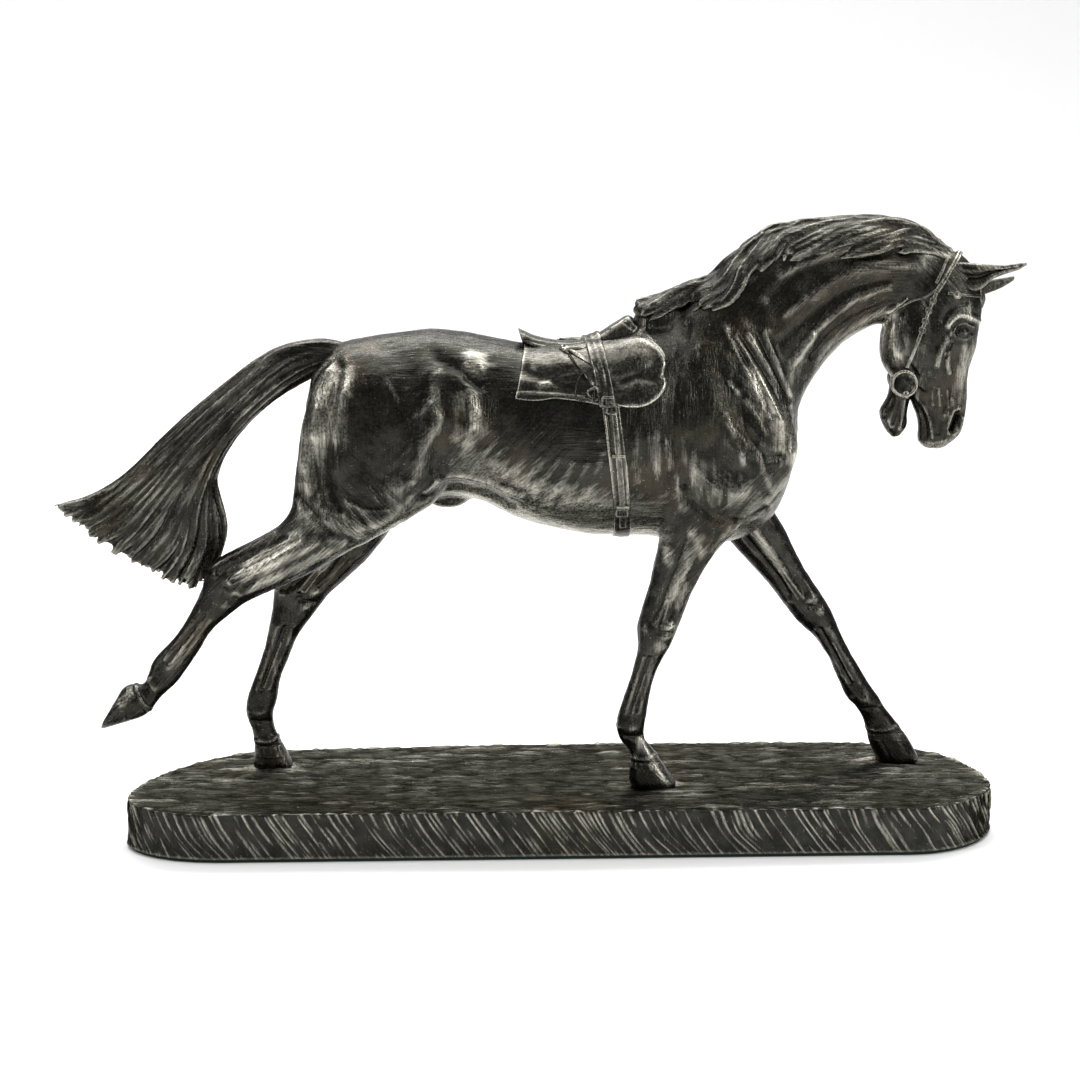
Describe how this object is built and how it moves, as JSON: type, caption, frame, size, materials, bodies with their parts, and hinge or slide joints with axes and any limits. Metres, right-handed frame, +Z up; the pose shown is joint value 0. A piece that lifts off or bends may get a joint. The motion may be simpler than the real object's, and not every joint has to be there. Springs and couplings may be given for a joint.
{
  "type": "bronze horse statue",
  "caption": "Statuette of a saddled and bridled racehorse in an extended trot, standing on three hooves on an oblong turf plinth.",
  "frame": {"origin": "centre of the underside of the baize pad, under the middle of the plinth", "axes": "+X towards the horse's head, +Y towards its left side, +Z up; the side meant to be seen is the right side, at -Y"},
  "size_m": [0.3739, 0.112, 0.2396],
  "materials": {
    "horse_bronze": "dark brown patina, waxed, rubbed through to pale gold on the raised muscles",
    "hair_bronze": "dark brown patina, deeply tooled",
    "tack_bronze": "dark brown patina with rubbed edges",
    "plinth_bronze": "dark patina over chisel-textured turf",
    "steel": "zinc-plated",
    "baize": "matt felt"
  },
  "bodies": {
    "root": {"baize_pad": "baize", "plinth": "plinth_bronze", "torso": "horse_bronze", "neck": "horse_bronze", "head": "horse_bronze", "lower_jaw": "horse_bronze", "right_ear": "horse_bronze", "left_ear": "horse_bronze", "right_foreleg": "horse_bronze", "left_foreleg": "horse_bronze", "right_hindleg": "horse_bronze", "left_hindleg": "horse_bronze", "mane": "hair_bronze", "tail": "hair_bronze", "forelock": "hair_bronze", "saddle_cloth": "tack_bronze", "saddle_seat": "tack_bronze", "right_saddle_flap": "tack_bronze", "left_saddle_flap": "tack_bronze", "surcingle": "tack_bronze", "girth": "tack_bronze", "browband": "tack_bronze", "bit_mouthpiece": "tack_bronze", "right_girth_strap": "tack_bronze", "right_girth_upper_keeper": "tack_bronze", "right_girth_lower_keeper": "tack_bronze", "right_stirrup_iron": "tack_bronze", "right_rosette": "tack_bronze", "right_cheekpiece": "tack_bronze", "right_headpiece": "tack_bronze", "right_throatlatch": "tack_bronze", "right_bit_ring": "tack_bronze", "left_girth_strap": "tack_bronze", "left_girth_upper_keeper": "tack_bronze", "left_girth_lower_keeper": "tack_bronze", "left_stirrup_iron": "tack_bronze", "left_rosette": "tack_bronze", "left_cheekpiece": "tack_bronze", "left_headpiece": "tack_bronze", "left_throatlatch": "tack_bronze", "left_bit_ring": "tack_bronze", "stud_right_fore": "steel", "washer_right_fore": "steel", "nut_right_fore": "steel", "stud_left_fore": "steel", "washer_left_fore": "steel", "nut_left_fore": "steel", "stud_left_hind": "steel", "washer_left_hind": "steel", "nut_left_hind": "steel"}
  },
  "joints": []
}
